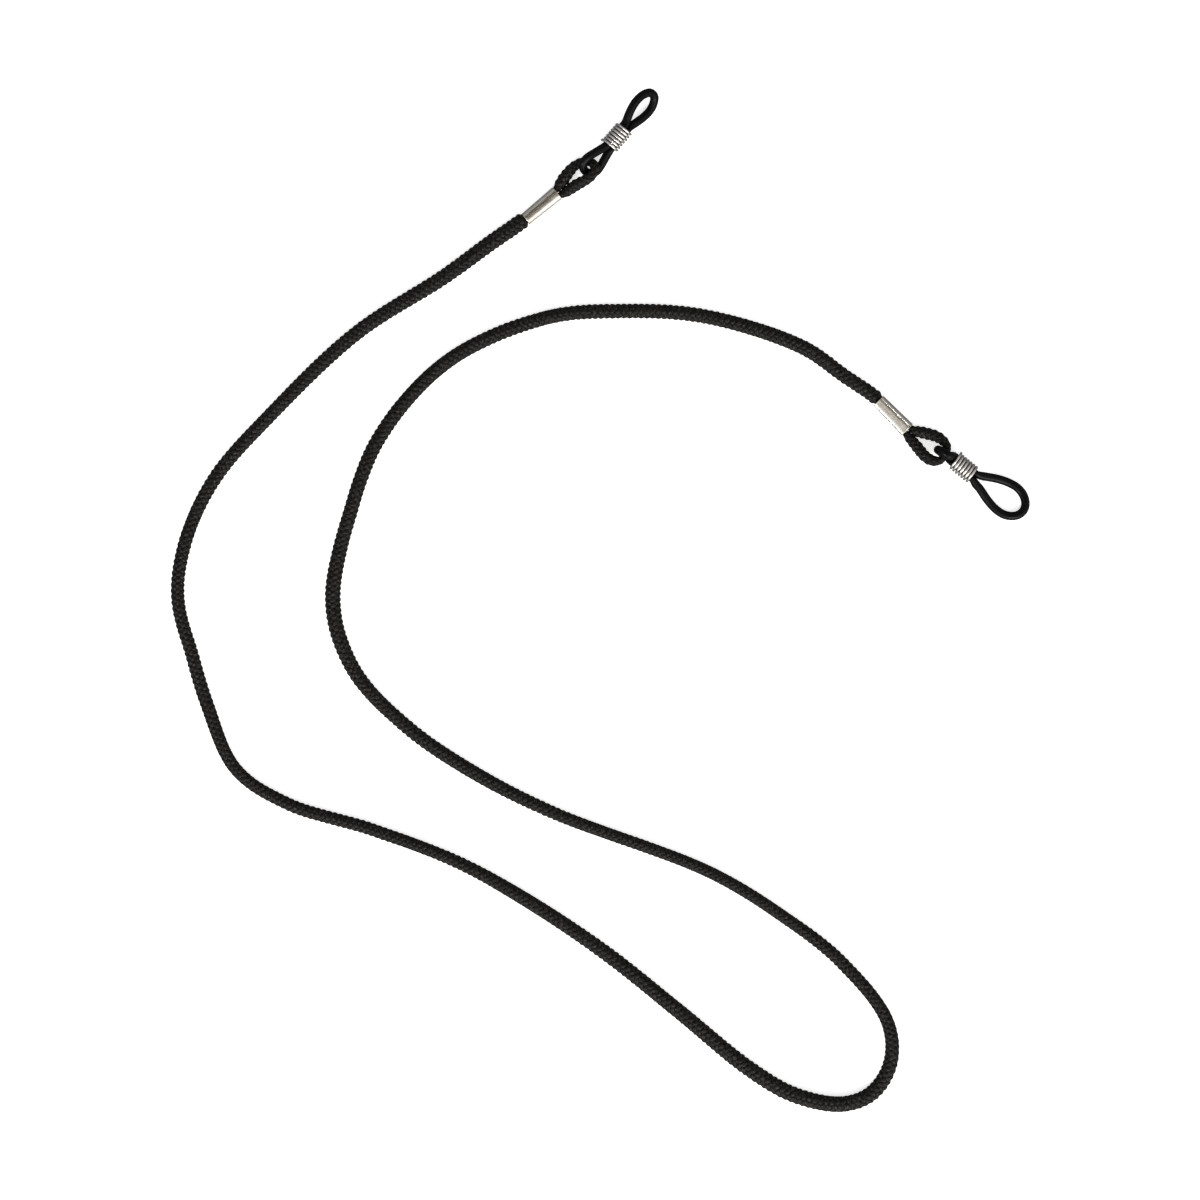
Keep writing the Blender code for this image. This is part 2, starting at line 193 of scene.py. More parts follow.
# The temple loop: forward of the coil's near end, left along the tipped legs, and up.
TEMPLE = {
    "a": [
        (6.9, 1.16, 0.0), (8.2, 1.78, 0.0), (9.7, 2.28, 0.0), (11.2, 2.52, 0.0), (12.7, 2.37, 0.0),
        (13.9, 1.88, 0.0), (14.75, 1.1, 0.0), (15.0, 0.2, 0.0), (14.75, -0.72, 0.0), (13.9, -1.5, 0.0),
        (12.7, -2.05, 0.0), (11.2, -2.2, 0.0), (9.7, -1.98, 0.0), (8.2, -1.54, 0.0), (6.9, -1.1, 0.0),
    ],
    "b": [
        (6.9, 1.18, -0.1), (8.4, 2.05, -0.4), (10.3, 3.08, -0.9), (12.8, 4.02, -1.35), (15.0, 4.35, -1.55),
        (17.1, 3.87, -1.6), (18.6, 2.68, -1.6), (19.2, 1.25, -1.6), (18.85, -0.33, -1.6),
        (17.7, -1.55, -1.6), (15.9, -2.35, -1.55), (13.6, -2.47, -1.35), (11.0, -2.03, -0.95),
        (8.6, -1.36, -0.45), (6.9, -1.07, -0.1),
    ],
}

# The studio
VIEW_MIDDLE = (-0.0395, -0.0665)
VIEW_WIDTH = 0.27              # at the cord's middle height
LENS = 100.0
SENSOR = 36.0
STRAP_MIDDLE = (-0.04, -0.067, 0.0)    # where the softboxes aim


# --- curves -------------------------------------------------------------------------------------

def smooth(points, steps, before=None, after=None, closed=False):
    """A smooth curve through points of any dimension, with steps stretches between each two."""
    points = np.array(points, float)
    if closed:
        line = np.vstack([points[-1:], points, points[:2]])
    else:
        first = 2 * points[0] - points[1] if before is None else np.array(before)
        last = 2 * points[-1] - points[-2] if after is None else np.array(after)
        line = np.vstack([first, points, last])
    t = (np.arange(steps) / steps)[:, None]
    curve = []
    for p0, p1, p2, p3 in zip(line, line[1:], line[2:], line[3:]):
        gap_0, gap_1, gap_2 = (math.sqrt(np.linalg.norm(b - a)) for a, b in ((p0, p1), (p1, p2), (p2, p3)))
        slope_1 = ((p1 - p0) / gap_0 - (p2 - p0) / (gap_0 + gap_1)) * gap_1 + (p2 - p1)
        slope_2 = ((p3 - p2) / gap_2 - (p3 - p1) / (gap_1 + gap_2)) * gap_1 + (p2 - p1)
        curve.append(
            (2 * t**3 - 3 * t**2 + 1) * p1 + (t**3 - 2 * t**2 + t) * slope_1
            + (3 * t**2 - 2 * t**3) * p2 + (t**3 - t**2) * slope_2
        )
    if not closed:
        curve.append(points[-1:])
    return np.vstack(curve)


def distance_along(curve):
    """How far along the curve each of its points is, by their first three numbers."""
    return np.concatenate([[0.0], np.cumsum(np.linalg.norm(np.diff(curve[:, :3], axis=0), axis=1))])


def evenly(curve, spacing):
    """The curve read again at points about the given spacing apart."""
    along = distance_along(curve)
    want = np.linspace(0.0, along[-1], max(2, round(along[-1] / spacing) + 1))
    return np.column_stack([np.interp(want, along, column) for column in curve.T])


def direction(heading):
    """The level direction at a heading in degrees."""
    angle = math.radians(heading)
    return np.array([math.cos(angle), math.sin(angle), 0.0])


def sideways(heading, roll):
    """The direction across a heading, to its left, tipped up by roll; both in degrees."""
    tip = math.radians(roll)
    return direction(heading + 90.0) * math.cos(tip) + np.array([0.0, 0.0, math.sin(tip)])


def unit(vectors):
    return vectors / np.linalg.norm(vectors, axis=-1, keepdims=True)


def ease(share):
    """A share from 0 to 1, slowed at both ends."""
    return share * share * (3 - 2 * share)


def frames(path):
    """At each point of the path: the way along it, and two directions across it that don't twist."""
    ahead = unit(np.gradient(path, axis=0))
    side = np.empty_like(ahead)
    across = np.cross([0.0, 0.0, 1.0], ahead[0])
    for i, way in enumerate(ahead):
        across = across - way * across.dot(way)
        across /= np.linalg.norm(across)
        side[i] = across
    return ahead, side, np.cross(ahead, side)


def end_matrix(end):
    """From an end's own frame to the model's."""
    x, y = MOUTH[end]
    return Matrix.Translation((x, y, 0.0)) @ Matrix.Rotation(math.radians(HEADING[end]), 4, "Z")


def to_model(end, points):
    """Points in an end's own frame, in metres, as points in the model's frame."""
    matrix = np.array(end_matrix(end))
    return points @ matrix[:3, :3].T + matrix[:3, 3]


# --- meshes -------------------------------------------------------------------------------------

def tube_faces(rings, sides):
    """Quads between rings of points, and a cap at each end."""
    here = np.arange(rings - 1)[:, None] * sides
    beyond = here + sides
    side = np.arange(sides)[None, :]
    turn = (side + 1) % sides
    quads = np.stack([here + side, here + turn, beyond + turn, beyond + side], axis=-1).reshape(-1, 4)
    faces = quads.tolist()
    faces.append(list(range(sides))[::-1])
    faces.append(list(range((rings - 1) * sides, rings * sides)))
    return faces


def add_mesh(name, vertices, faces, layout, material, body):
    """A smooth mesh that rides on a body; layout holds each vertex's place across and along its strand."""
    mesh = bpy.data.meshes.new(name)
    mesh.from_pydata(vertices.tolist(), [], faces)
    mesh.shade_smooth()
    corners = np.empty(len(mesh.loops), np.int32)
    mesh.loops.foreach_get("vertex_index", corners)
    mesh.uv_layers.new(name="strand").data.foreach_set("uv", layout[corners].astype(np.float32).ravel())
    mesh.materials.append(material)
    piece = bpy.data.objects.new(name, mesh)
    bpy.context.collection.objects.link(piece)
    if body:
        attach(piece, body)
    return piece


def sweep(centres, across, outward, half_widths, half_heights, sides):
    """A strand's points: an oval of the given half sizes about each centre, with its layout."""
    angle = 2 * math.pi * np.arange(sides) / sides
    wide = across[:, None, :] * (half_widths[:, None] * np.cos(angle))[:, :, None]
    high = outward[:, None, :] * (half_heights[:, None] * np.sin(angle))[:, :, None]
    vertices = (centres[:, None, :] + wide + high).reshape(-1, 3)
    along = np.repeat(distance_along(centres) / MM, sides)
    layout = np.column_stack([np.tile(np.cos(angle), len(centres)), along])
    return vertices, layout


def braid_strands(path, half_width, half_height, ways):
    """The yarns of a braid along a path, as vertices, faces and layout.

    ways holds 1 for the four yarns that wind one way and -1 for the four that wind the other."""
    turns = distance_along(path) / LAY
    want = np.linspace(0.0, turns[-1], round(turns[-1] * RINGS_PER_TURN) + 1)
    centre = np.column_stack([np.interp(want, turns, column) for column in path.T])
    half_width = np.interp(want, turns, half_width)
    half_height = np.interp(want, turns, half_height)
    _, side, up = frames(centre)
    size = np.sqrt(half_width * half_height) / CORD_RADIUS
    middle = CORD_RADIUS - YARN_HALF_THICKNESS - WEAVE_DEPTH
    drift = math.radians(FIRST_ANGLE)
    for swing, wave, phase in TWIST:
        drift = drift + swing * np.sin(want / wave + phase)
    all_vertices, all_faces, all_layout = [], [], []
    count = 0
    for way in ways:
        for strand in range(4):
            angle = drift + way * 2 * math.pi * want + strand * math.pi / 2
            wobble = UNEVENNESS * np.sin(want * 3.1 + strand * 1.7 + way)
            lift = way * np.cos(math.pi * CROSSINGS * want)
            reach = (middle + WEAVE_DEPTH * lift * (1.0 + wobble)) / CORD_RADIUS
            spot = (
                centre
                + side * (half_width * reach * np.cos(angle))[:, None]
                + up * (half_height * reach * np.sin(angle))[:, None]
            )
            outward = (
                side * (np.cos(angle) / half_width)[:, None]
                + up * (np.sin(angle) / half_height)[:, None]
            )
            along = unit(np.gradient(spot, axis=0))
            outward = unit(outward - along * np.sum(outward * along, axis=1)[:, None])
            across = np.cross(along, outward)
            vertices, layout = sweep(
                spot, across, outward, YARN_HALF_WIDTH * size * (1.0 + wobble),
                YARN_HALF_THICKNESS * size, YARN_SIDES,
            )
            layout[:, 1] += TEXTURE_SHIFT_STRAND * strand + TEXTURE_SHIFT_WAY * way
            faces = tube_faces(len(spot), YARN_SIDES)
            all_vertices.append(vertices)
            all_layout.append(layout)
            all_faces += [[i + count for i in face] for face in faces]
            count += len(vertices)
    return np.vstack(all_vertices), all_faces, np.vstack(all_layout)


def tube_strand(path, half_width, half_height, sides):
    """A plain tube along a path, as vertices, faces and layout."""
    _, side, up = frames(path)
    vertices, layout = sweep(path, side, up, half_width, half_height, sides)
    return vertices, tube_faces(len(path), sides), layout


# --- materials ----------------------------------------------------------------------------------

def add_node(tree, kind, inputs=(), **settings):
    """A shader node with its settings; inputs are (socket, value or another node's socket)."""
    node = tree.nodes.new(kind)
    for key, value in settings.items():
        setattr(node, key, value)
    for socket, value in inputs:
        if isinstance(value, bpy.types.NodeSocket):
            tree.links.new(value, node.inputs[socket])
        else:
            node.inputs[socket].default_value = value
    return node


def new_material(name):
    material = bpy.data.materials.new(name)
    material.use_nodes = True
    tree = material.node_tree
    return material, tree, tree.nodes["Principled BSDF"]


def strand_noise(tree, across, along, detail=4.0):
    """Noise stretched along a strand: the scales are per half width and per millimetre."""
    layout = add_node(tree, "ShaderNodeUVMap", uv_map="strand")
    stretched = add_node(
        tree, "ShaderNodeMapping", [("Vector", layout.outputs["UV"]), ("Scale", (across, along, 1.0))]
    )
    return add_node(
        tree, "ShaderNodeTexNoise",
        [("Vector", stretched.outputs["Vector"]), ("Scale", 1.0), ("Detail", detail), ("Roughness", 0.6)],
        noise_dimensions="2D",
    )


def body_noise(tree, scale, detail=3.0):
    """Noise fixed to the object, with its scale per metre."""
    place = add_node(tree, "ShaderNodeTexCoord")
    return add_node(
        tree, "ShaderNodeTexNoise",
        [("Vector", place.outputs["Object"]), ("Scale", scale), ("Detail", detail), ("Roughness", 0.55)],
    )


def ramp(tree, factor, stops):
    """A colour ramp through (position, colour) stops."""
    node = add_node(tree, "ShaderNodeValToRGB", [("Fac", factor)])
    elements = node.color_ramp.elements
    while len(elements) < len(stops):
        elements.new(0.5)
    for element, (position, colour) in zip(elements, stops):
        element.position = position
        element.color = (*colour, 1.0)
    return node.outputs["Color"]


def map_range(tree, value, low, high):
    """A noise value, from about 0.3 to 0.7, spread over a range."""
    node = add_node(
        tree, "ShaderNodeMapRange",
        [("Value", value), ("From Min", 0.3), ("From Max", 0.7), ("To Min", low), ("To Max", high)],
    )
    return node.outputs["Result"]


def bump(tree, shader, height, strength, distance):
    node = add_node(
        tree, "ShaderNodeBump", [("Height", height), ("Strength", strength), ("Distance", distance)]
    )
    tree.links.new(node.outputs["Normal"], shader.inputs["Normal"])


def yarn_material():
    """Black synthetic yarn: fine filaments, small lighter specks of painted highlight standing in for
    glints, and a slow change of tone.
    """
    material, tree, shader = new_material("braided_yarn")
    filaments = strand_noise(tree, 7.0, 0.9)
    # Noise for the painted highlight: where it is high, lighter specks are painted into the colour to stand
    # in for glints on the yarns.
    painted_glint_noise = strand_noise(tree, 3.5, 1.3, 2.0)
    tone = body_noise(tree, 130.0)
    mixed = add_node(
        tree, "ShaderNodeMath",
        [(0, filaments.outputs["Fac"]), (1, tone.outputs["Fac"])], operation="MULTIPLY",
    )
    colour = ramp(
        tree, mixed.outputs["Value"],
        [(0.12, (0.0008, 0.0008, 0.0008)), (0.3, (0.0019, 0.0018, 0.0017)), (0.5, (0.0046, 0.0041, 0.0036))],
    )
    # The painted highlight specks, added on top of the yarn's own colour.
    painted_glint_colour = ramp(tree, painted_glint_noise.outputs["Fac"], [(0.55, (0.0, 0.0, 0.0)), (0.72, (0.042, 0.037, 0.031))])
    both = add_node(tree, "ShaderNodeVectorMath", [(0, colour), (1, painted_glint_colour)], operation="ADD")
    tree.links.new(both.outputs["Vector"], shader.inputs["Base Color"])
    tree.links.new(map_range(tree, filaments.outputs["Fac"], 0.3, 0.5), shader.inputs["Roughness"])
    shader.inputs["Specular IOR Level"].default_value = 0.13
    bump(tree, shader, filaments.outputs["Fac"], 0.75, 0.00008)
    return material


def core_material():
    """The yarns inside the braid, seen only between the woven ones."""
    material, tree, shader = new_material("cord_core")
    fibres = body_noise(tree, 2600.0)
    colour = ramp(
        tree, fibres.outputs["Fac"], [(0.3, (0.001, 0.001, 0.001)), (0.7, (0.003, 0.0028, 0.0026))]
    )
    tree.links.new(colour, shader.inputs["Base Color"])
    shader.inputs["Roughness"].default_value = 0.9
    shader.inputs["Specular IOR Level"].default_value = 0.1
    return material


def sealed_material():
    """A melted cord end: shrunken, uneven and slightly shiny."""
    material, tree, shader = new_material("melted_cord_end")
    lumps = body_noise(tree, 2200.0)
    colour = ramp(
        tree, lumps.outputs["Fac"], [(0.35, (0.006, 0.006, 0.006)), (0.65, (0.016, 0.015, 0.014))]
    )
    tree.links.new(colour, shader.inputs["Base Color"])
    tree.links.new(map_range(tree, lumps.outputs["Fac"], 0.25, 0.5), shader.inputs["Roughness"])
    bump(tree, shader, lumps.outputs["Fac"], 0.5, 0.0001)
    return material


def rubber_material():
    """Smooth black rubber, satin, with faint drawing marks along it and a trace of dust."""
    material, tree, shader = new_material("black_rubber")
    marks = strand_noise(tree, 3.0, 0.35)
    dust = body_noise(tree, 420.0, 5.0)
    colour = ramp(
        tree, dust.outputs["Fac"],
        [(0.35, (0.0014, 0.0014, 0.0016)), (0.6, (0.0021, 0.0021, 0.0023)), (0.8, (0.0045, 0.0044, 0.0043))],
    )
    tree.links.new(colour, shader.inputs["Base Color"])
    tree.links.new(map_range(tree, marks.outputs["Fac"], 0.2, 0.32), shader.inputs["Roughness"])
    shader.inputs["Specular IOR Level"].default_value = 0.08
    bump(tree, shader, marks.outputs["Fac"], 0.18, 0.00005)
    return material


def ferrule_material():
    """Nickel-plated sheet: warm, drawn along its length, with worn patches and small press marks."""
    material, tree, shader = new_material("nickel_ferrule")
    drawn = strand_noise(tree, 7.0, 0.4)
    presses = strand_noise(tree, 0.8, 1.1, 2.0)
    patches = body_noise(tree, 500.0, 4.0)
    colour = ramp(
        tree, patches.outputs["Fac"],
        [(0.3, (0.50, 0.465, 0.415)), (0.5, (0.57, 0.545, 0.505)), (0.7, (0.63, 0.61, 0.58))],
    )
    tree.links.new(colour, shader.inputs["Base Color"])
    shader.inputs["Metallic"].default_value = 1.0
    tree.links.new(map_range(tree, drawn.outputs["Fac"], 0.17, 0.33), shader.inputs["Roughness"])
    both = add_node(
        tree, "ShaderNodeMath",
        [(0, drawn.outputs["Fac"]), (1, 0.12), (2, presses.outputs["Fac"])], operation="MULTIPLY_ADD",
    )
    bump(tree, shader, both.outputs["Value"], 0.35, 0.0001)
    return material


def wire_material():
    """Bright drawn nickel wire, with fine drawing lines along it."""
    material, tree, shader = new_material("nickel_wire")
    drawn = strand_noise(tree, 5.0, 0.5)
    stain = body_noise(tree, 700.0, 4.0)
    colour = ramp(
        tree, stain.outputs["Fac"],
        [(0.3, (0.48, 0.45, 0.415)), (0.55, (0.57, 0.555, 0.54)), (0.75, (0.64, 0.63, 0.62))],
    )
    tree.links.new(colour, shader.inputs["Base Color"])
    shader.inputs["Metallic"].default_value = 1.0
    tree.links.new(map_range(tree, drawn.outputs["Fac"], 0.12, 0.24), shader.inputs["Roughness"])
    bump(tree, shader, drawn.outputs["Fac"], 0.12, 0.00003)
    return material


def floor_material():
    """A white table top, faintly lit from below so that shadows stay light."""
    material, tree, shader = new_material("white_floor")
    grain = body_noise(tree, 60.0)
    colour = ramp(tree, grain.outputs["Fac"], [(0.3, (0.92, 0.92, 0.92)), (0.7, (0.94, 0.94, 0.94))])
    tree.links.new(colour, shader.inputs["Base Color"])
    shader.inputs["Roughness"].default_value = 0.9
    shader.inputs["Specular IOR Level"].default_value = 0.1
    shader.inputs["Emission Color"].default_value = (1.0, 1.0, 1.0, 1.0)
    shader.inputs["Emission Strength"].default_value = 0.6
    return material


# --- the cord -----------------------------------------------------------------------------------

def cord_line():
    """The free cord from just inside one ferrule to just inside the other: x, y, z and half its width."""
    places = [place for place, width in CORD_WIDTH]
    widths = [width for place, width in CORD_WIDTH]
    route = [
        (x, y, CORD_RADIUS, np.interp(i, places, widths) / 2 * MM) for i, (x, y) in enumerate(ROUTE)
    ]
    ahead_a, ahead_b = (np.append(direction(HEADING[end]), 0.0) for end in ("a", "b"))
    line = smooth(route, 24, before=route[0] + CORD_AIM * ahead_a, after=route[-1] + CORD_AIM * ahead_b)
    inside_a = line[0] + CORD_INSIDE * ahead_a
    inside_b = line[-1] + CORD_INSIDE * ahead_b
    return evenly(np.vstack([inside_a, line, inside_b]), CORD_STEP)


def pinch_near_ends(distances, half_sizes, pinched):
    """Half sizes squeezed towards a smaller one near either end, where the ferrules grip."""
    from_end = np.minimum(distances, distances[-1] - distances)
    share = ease(np.clip((from_end - PINCH_LENGTH) / PINCH_FADE, 0.0, 1.0))
    return np.minimum(half_sizes, pinched + (half_sizes - pinched) * share)


def make_cord(yarn, core):
    """The free cord: four yarns each way round a core."""
    line = cord_line()
    path = line[:, :3]
    distances = distance_along(path)
    half_width = pinch_near_ends(distances, line[:, 3] + CREST, PINCHED_HALF_WIDTH)
    half_height = pinch_near_ends(distances, np.full(len(line), CORD_RADIUS), PINCHED_HALF_HEIGHT)
    windings = []
    for way, name in ((1, "cord_yarns_right"), (-1, "cord_yarns_left")):
        vertices, faces, layout = braid_strands(path, half_width, half_height, [way])
        windings.append(add_mesh(name, vertices, faces, layout, yarn, "strap"))
    vertices, faces, layout = tube_strand(
        path[::4], CORE_SHARE * half_width[::4], CORE_SHARE * half_height[::4], CORE_SIDES
    )
    filling = add_mesh("cord_core", vertices, faces, layout, core, "strap")
    for piece in (*windings, filling):
        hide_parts("cord_run")


def make_eye(end, yarn, core):
    """One folded end of the cord, from inside its ferrule round the eye and back."""
    points = np.array(RUN_STRAND + EYE[end] + TAIL_STRAND) * MM
    line = evenly(smooth(points, 16), EYE_STEP)
    path = to_model(end, line[:, :3])
    radii = line[:, 3]
    vertices, faces, layout = braid_strands(path, radii, radii, [1, -1])
    yarns = add_mesh(f"eye_yarns_{end}", vertices, faces, layout, yarn, "strap")
    inner = CORE_SHARE * radii[::2]
    vertices, faces, layout = tube_strand(path[::2], inner, inner, CORE_SIDES)
    filling = add_mesh(f"eye_core_{end}", vertices, faces, layout, core, "strap")
    for piece in (yarns, filling):
        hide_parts(f"cord_eye_{end}")


# --- the ferrules -------------------------------------------------------------------------------

def ferrule_section(end, width, gap):
    """The ferrule's outline across its axis, as (left, up): a crowned box, rolled, and open at its seam."""
    shape = FERRULE[end]
    power = shape["power"]
    outline = []
    for step in range(FERRULE_SIDES):
        angle = math.radians(shape["seam"]) + 2 * math.pi * (step + 0.5) / FERRULE_SIDES
        left, up = math.cos(angle), math.sin(angle)
        size = (abs(left) ** power + abs(up) ** power) ** (-1.0 / power)
        outline.append(Vector((left * size * width / 2, up * size * FERRULE_HEIGHT / 2)))
    seam = (outline[0] + outline[-1]) / 2
    outline[0] = seam + (outline[0] - seam).normalized() * gap / 2
    outline[-1] = seam + (outline[-1] - seam).normalized() * gap / 2
    roll = Matrix.Rotation(math.radians(shape["roll"]), 2)
    outline = [roll @ point for point in outline]
    rise = -min(point.y for point in outline)
    return [(point.x, point.y + rise) for point in outline]


def make_ferrule(end, material):
    """A rolled sheet-metal sleeve, a little wider where both strands enter, with soft flared rims."""
    name = f"crimp_{end}"
    mesh = bpy.data.meshes.new(name)
    body = bmesh.new()
    layer = body.loops.layers.uv.new("strand")
    shares = [0.0, 0.015, 0.03, 0.05, *np.linspace(0.08, 0.92, 22), 0.95, 0.97, 0.985, 1.0]
    middle = FERRULE_HEIGHT / 2
    rings = []
    for share in shares:
        width = FERRULE_WIDTH_CORD_END + (FERRULE_WIDTH_EYE_END - FERRULE_WIDTH_CORD_END) * share
        gap = SEAM_GAP_CORD_END + (SEAM_GAP_EYE_END - SEAM_GAP_CORD_END) * share
        from_rim = min(share, 1.0 - share) / RIM
        flare = 1.0 + FLARE * max(0.0, 1.0 - from_rim) ** 2
        forward = -FERRULE_LENGTH * (1.0 - share)
        rings.append([
            body.verts.new((forward, left * flare, middle + (up - middle) * flare))
            for left, up in ferrule_section(end, width, gap)
        ])
    for near, far in zip(rings, rings[1:]):
        for i in range(len(near) - 1):
            face = body.faces.new((near[i], near[i + 1], far[i + 1], far[i]))
            for loop in face.loops:
                place = loop.vert.co / MM
                loop[layer].uv = (place.y, place.x)
    body.normal_update()
    body.to_mesh(mesh)
    body.free()
    mesh.materials.append(material)
    mesh.shade_smooth()
    sleeve = bpy.data.objects.new(name, mesh)
    bpy.context.collection.objects.link(sleeve)
    wall = sleeve.modifiers.new("wall", "SOLIDIFY")
    wall.thickness = FERRULE_WALL
    wall.offset = -1.0
    edges = sleeve.modifiers.new("edges", "BEVEL")
    edges.width = EDGE_RADIUS
    edges.segments = 4
    edges.limit_method = "ANGLE"
    edges.angle_limit = math.radians(50.0)
    sleeve.matrix_world = end_matrix(end)
    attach(sleeve, "strap")
    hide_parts(f"ferrule_{end}")


# --- the rubber rings ---------------------------------------------------------------------------

def link_points(end):
    """The bend round the cord's eye, from the lower leg to the upper one."""
    link = LINK[end]
    ahead = direction(link["heading"])
    across = sideways(link["heading"], link["roll"])
    points = []
    for step in range(9):
        angle = math.radians(link["half_turn"]) * (step / 4 - 1.0)
        bend = link["radius"] * (math.sin(angle) * across - math.cos(angle) * ahead)
        points.append((link["middle"] + bend) * MM)
    return points


def leg_points(end, side):
    """One leg inside the coil, from its near end to its far end; side is 1 or -1."""
    coil = COIL[end]
    start = np.array(coil["start"]) * MM
    ahead = direction(coil["heading"])
    points = []
    for step in range(7):
        share = step / 6
        roll = coil["roll_in"] + (coil["roll_out"] - coil["roll_in"]) * share
        forward = -LEG_OVERHANG + (COIL_LENGTH + 2 * LEG_OVERHANG) * share
        across = sideways(coil["heading"], roll)
        points.append(start + forward * ahead + side * LEG_OFFSET * across)
    return points


def temple_points(end):
    """The temple loop beyond the coil, from its left arm round to its right arm."""
    coil = COIL[end]
    start = np.array(coil["start"]) * MM
    ahead = direction(coil["heading"])
    across = sideways(coil["heading"], coil["roll_out"])
    points = []
    for forward, left, up in TEMPLE[end]:
        points.append(start + (forward * ahead + left * across + np.array([0.0, 0.0, up])) * MM)
    return points


def coil_point(end, forward):
    """A point on the coil's axis, in the model's frame, forward of its near end."""
    coil = COIL[end]
    place = np.array(coil["start"]) * MM + forward * direction(coil["heading"])
    return to_model(end, place[None, :])[0]


def rubber_tube(end, path):
    """A round tube that flattens where its coil holds it against the other leg."""
    ahead, side, up = frames(path)
    radii = np.full(len(path), RUBBER_RADIUS)
    vertices, layout = sweep(path, side, up, radii, radii, RUBBER_SIDES)
    near, far = coil_point(end, 0.0), coil_point(end, COIL_LENGTH)
    axis = (far - near) / COIL_LENGTH
    forward = (path - near) @ axis
    outside = np.maximum(-forward, forward - COIL_LENGTH)
    held = ease(np.clip(1.0 - (outside + SQUEEZE_INSIDE) / SQUEEZE_FADE, 0.0, 1.0))
    apart = path - near - forward[:, None] * axis
    apart = unit(apart - ahead * np.sum(apart * ahead, axis=1)[:, None])
    offset = vertices.reshape(len(path), RUBBER_SIDES, 3) - path[:, None, :]
    towards = np.einsum("psk,pk->ps", offset, apart)[:, :, None] * apart[:, None, :]
    offset += held[:, None, None] * (SPREAD * (offset - towards) - FLATTENED * towards)
    vertices = (path[:, None, :] + offset).reshape(-1, 3)
    return vertices, tube_faces(len(path), RUBBER_SIDES), layout


def make_ring(end, material):
    """One rubber ring in two halves that meet inside the coil: a link half round the cord's eye and a temple
    half."""
    steps = 12
    bend = link_points(end)
    outward = leg_points(end, 1)
    loop = temple_points(end)
    homeward = leg_points(end, -1)[::-1]
    line = smooth(bend + outward + loop + homeward, steps, closed=True)
    half_leg = len(outward) // 2
    out_middle = (len(bend) + half_leg) * steps
    home_middle = (len(bend) + len(outward) + len(loop) + half_leg) * steps
    temple = line[out_middle:home_middle + 1]
    link = np.vstack([line[home_middle:], line[:out_middle + 1]])
    eye_middle = to_model(end, np.array([LINK[end]["middle"]]) * MM)[0]
    tip = coil_point(end, max(forward for forward, left, up in TEMPLE[end]) * MM)
    near, far = coil_point(end, COIL_GRIP), coil_point(end, COIL_LENGTH)
    for name, half, bodies, start, finish in (
        (f"rubber_link_{end}", link, (f"ring_{end}", f"coil_{end}"), eye_middle, near),
        (f"rubber_temple_{end}", temple, (f"coil_{end}", f"ring_{end}"), far, tip),
    ):
        path = to_model(end, evenly(half, RING_STEP))
        vertices, faces, layout = rubber_tube(end, path)
        piece = add_mesh(name, vertices, faces, layout, material, None)
        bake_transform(piece)
        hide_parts(f"rubber_ring_{end}")


# --- the coils ----------------------------------------------------------------------------------

def make_coil(end, material):
    """A right-handed coil of round wire with square-cut ends, whose first turn starts a little wide."""
    per_turn = 40
    turn = np.arange(round(COIL_TURNS * per_turn) + 1) / per_turn
    angle = 2 * math.pi * turn
    sprung = np.clip(1.0 - turn / SPRUNG_TURN, 0.0, 1.0) ** 2
    radius = COIL_RADIUS + SPRUNG_OUT * sprung
    forward = COIL_PITCH * turn + COIL[end]["first"] * MM + WAVER * np.sin(2 * angle)
    helix = np.column_stack([forward, radius * np.cos(angle), radius * np.sin(angle)])
    heading = Matrix.Rotation(math.radians(COIL[end]["heading"]), 3, "Z")
    helix = helix @ np.array(heading).T + np.array(COIL[end]["start"]) * MM
    radii = np.full(len(helix), WIRE_RADIUS)
    radii[[0, -1]] = CUT_END * WIRE_RADIUS
    vertices, faces, layout = tube_strand(to_model(end, helix), radii, radii, WIRE_SIDES)
    coil = add_mesh(f"coil_wire_{end}", vertices, faces, layout, material, f"coil_{end}")
    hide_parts(f"coil_{end}")


# --- the studio ---------------------------------------------------------------------------------

def make_camera():
    """Straight above the strap."""
    data = bpy.data.cameras.new("camera")
    data.lens = LENS
    data.sensor_width = SENSOR
    data.clip_start = 0.01
    camera = bpy.data.objects.new("camera", data)
    camera.location = (*VIEW_MIDDLE, CORD_RADIUS + VIEW_WIDTH * LENS / SENSOR)
    bpy.context.collection.objects.link(camera)
    bpy.context.scene.camera = camera


def make_floor(material):
    """A wide table top; polished metal mirrors the room below the horizon instead of it."""
    mesh = bpy.data.meshes.new("floor")
    body = bmesh.new()
    bmesh.ops.create_grid(body, x_segments=1, y_segments=1, size=20.0)
    body.to_mesh(mesh)
    body.free()
    mesh.materials.append(material)
    floor = bpy.data.objects.new("floor", mesh)
    floor.visible_glossy = False
    bpy.context.collection.objects.link(floor)


def add_softbox(name, location, size, power, colour):
    """A rectangular light aimed at the strap's middle."""
    data = bpy.data.lights.new(name, "AREA")
    data.shape = "RECTANGLE"
    data.size, data.size_y = size
    data.energy = power
    data.color = colour
    light = bpy.data.objects.new(name, data)
    light.location = location
    aim = Vector(STRAP_MIDDLE) - Vector(location)
    light.rotation_euler = aim.to_track_quat("-Z", "Y").to_euler()
    bpy.context.collection.objects.link(light)


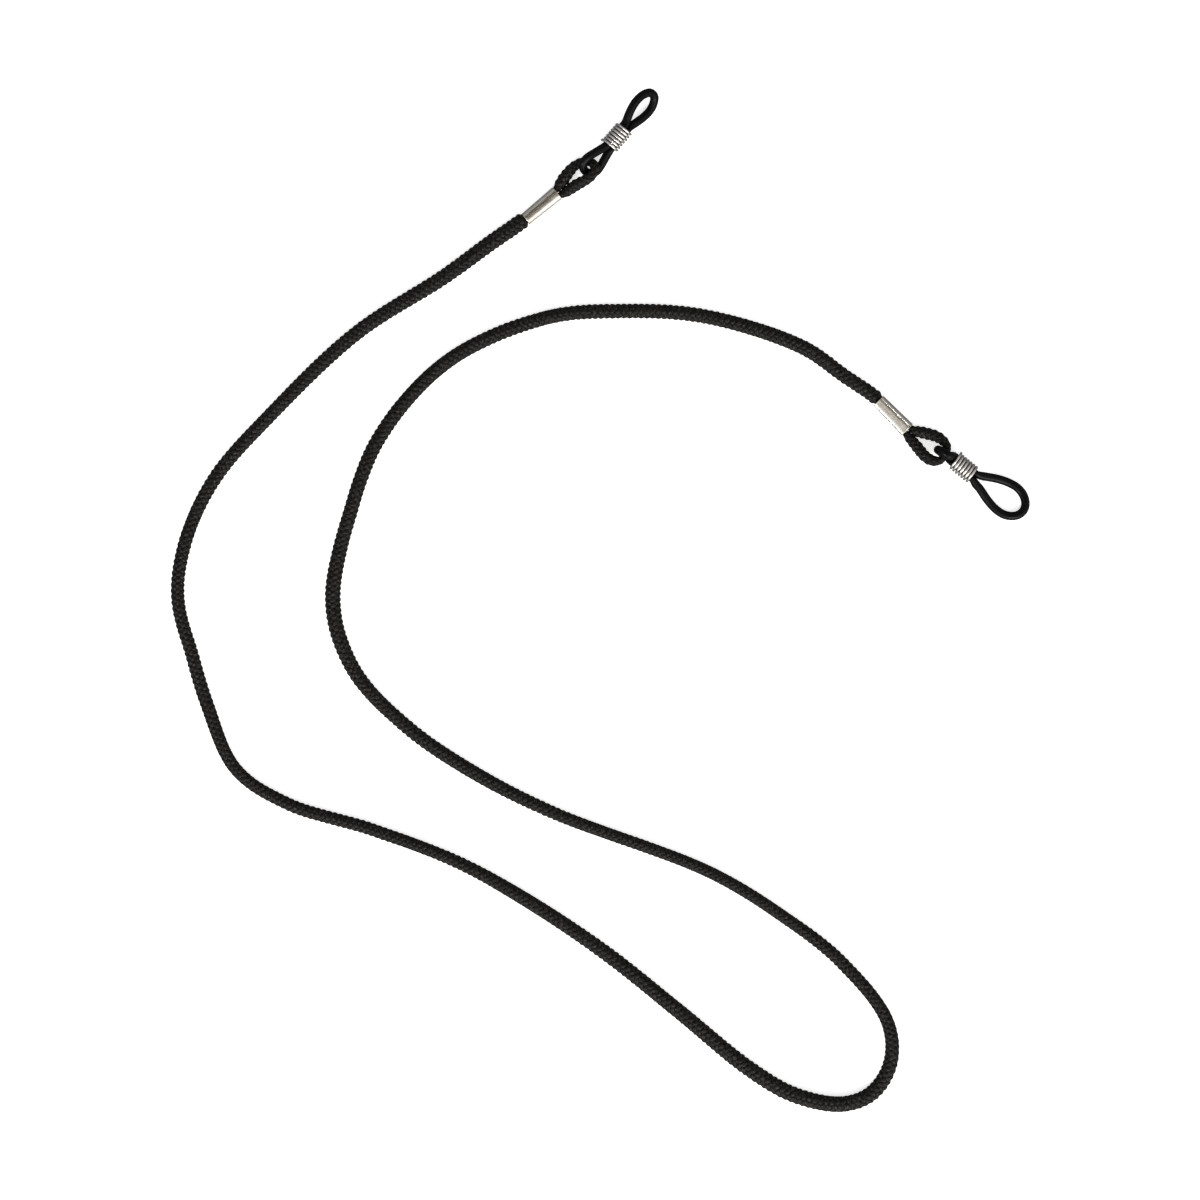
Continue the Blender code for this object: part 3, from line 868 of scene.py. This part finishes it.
def make_room():
    """A pale room: brighter and warmer towards the near side, dim below and dark straight overhead."""
    world = bpy.data.worlds.new("studio")
    world.use_nodes = True
    tree = world.node_tree
    look = add_node(tree, "ShaderNodeTexCoord").outputs["Generated"]
    key_side = (0.125, -0.4, 0.275)
    towards_key = add_node(
        tree, "ShaderNodeVectorMath", [(0, look), (1, key_side)], operation="DOT_PRODUCT",
    )
    side = add_node(tree, "ShaderNodeMath", [(0, towards_key.outputs["Value"]), (1, 0.5)], operation="ADD")
    walls = ramp(
        tree, side.outputs["Value"],
        [(0.2, (0.41, 0.42, 0.44)), (0.45, (0.5, 0.5, 0.51)), (0.66, (0.95, 0.93, 0.89)),
         (0.78, (1.0, 0.98, 0.95)), (0.9, (1.6, 1.58, 1.52)), (0.97, (2.6, 2.56, 2.5))],
    )
    split = add_node(tree, "ShaderNodeSeparateXYZ", [("Vector", look)])
    height = add_node(
        tree, "ShaderNodeMath", [(0, split.outputs["Z"]), (1, 0.5), (2, 0.5)], operation="MULTIPLY_ADD",
    )
    levels = ramp(
        tree, height.outputs["Value"],
        [(0.4, (0.58, 0.565, 0.55)), (0.56, (1.0, 1.0, 1.0)), (0.935, (1.0, 1.0, 1.0)),
         (0.982, (0.1, 0.08, 0.06))],
    )
    shade = add_node(
        tree, "ShaderNodeVectorMath", [(0, walls), (1, levels)], operation="MULTIPLY",
    )
    background = tree.nodes["Background"]
    tree.links.new(shade.outputs["Vector"], background.inputs["Color"])
    background.inputs["Strength"].default_value = 1.0
    bpy.context.scene.world = world


def make_lights():
    """A wide softbox low on the near side and a small one to its left, in a pale room."""
    add_softbox("key", (0.3, -1.15, 0.74), (0.65, 0.35), 8.0, (1.0, 0.98, 0.95))
    add_softbox("glint", (-0.8, -1.0, 0.8), (0.16, 0.16), 8.0, (1.0, 0.99, 0.97))
    make_room()
    bpy.context.scene.view_settings.view_transform = "Standard"


def main():
    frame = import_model()
    make_camera()
    yarn = yarn_material()
    core = core_material()
    make_cord(yarn, core)
    sealed = sealed_material()
    ferrule = ferrule_material()
    rubber = rubber_material()
    wire = wire_material()
    for end in ("a", "b"):
        make_eye(end, yarn, core)
        make_ferrule(end, ferrule)
        make_ring(end, rubber)
        make_coil(end, wire)
        seal = frame["nodes"][f"cord_seal_{end}"]
        seal.material_slots[0].material = sealed
    make_floor(floor_material())
    make_lights()


main()
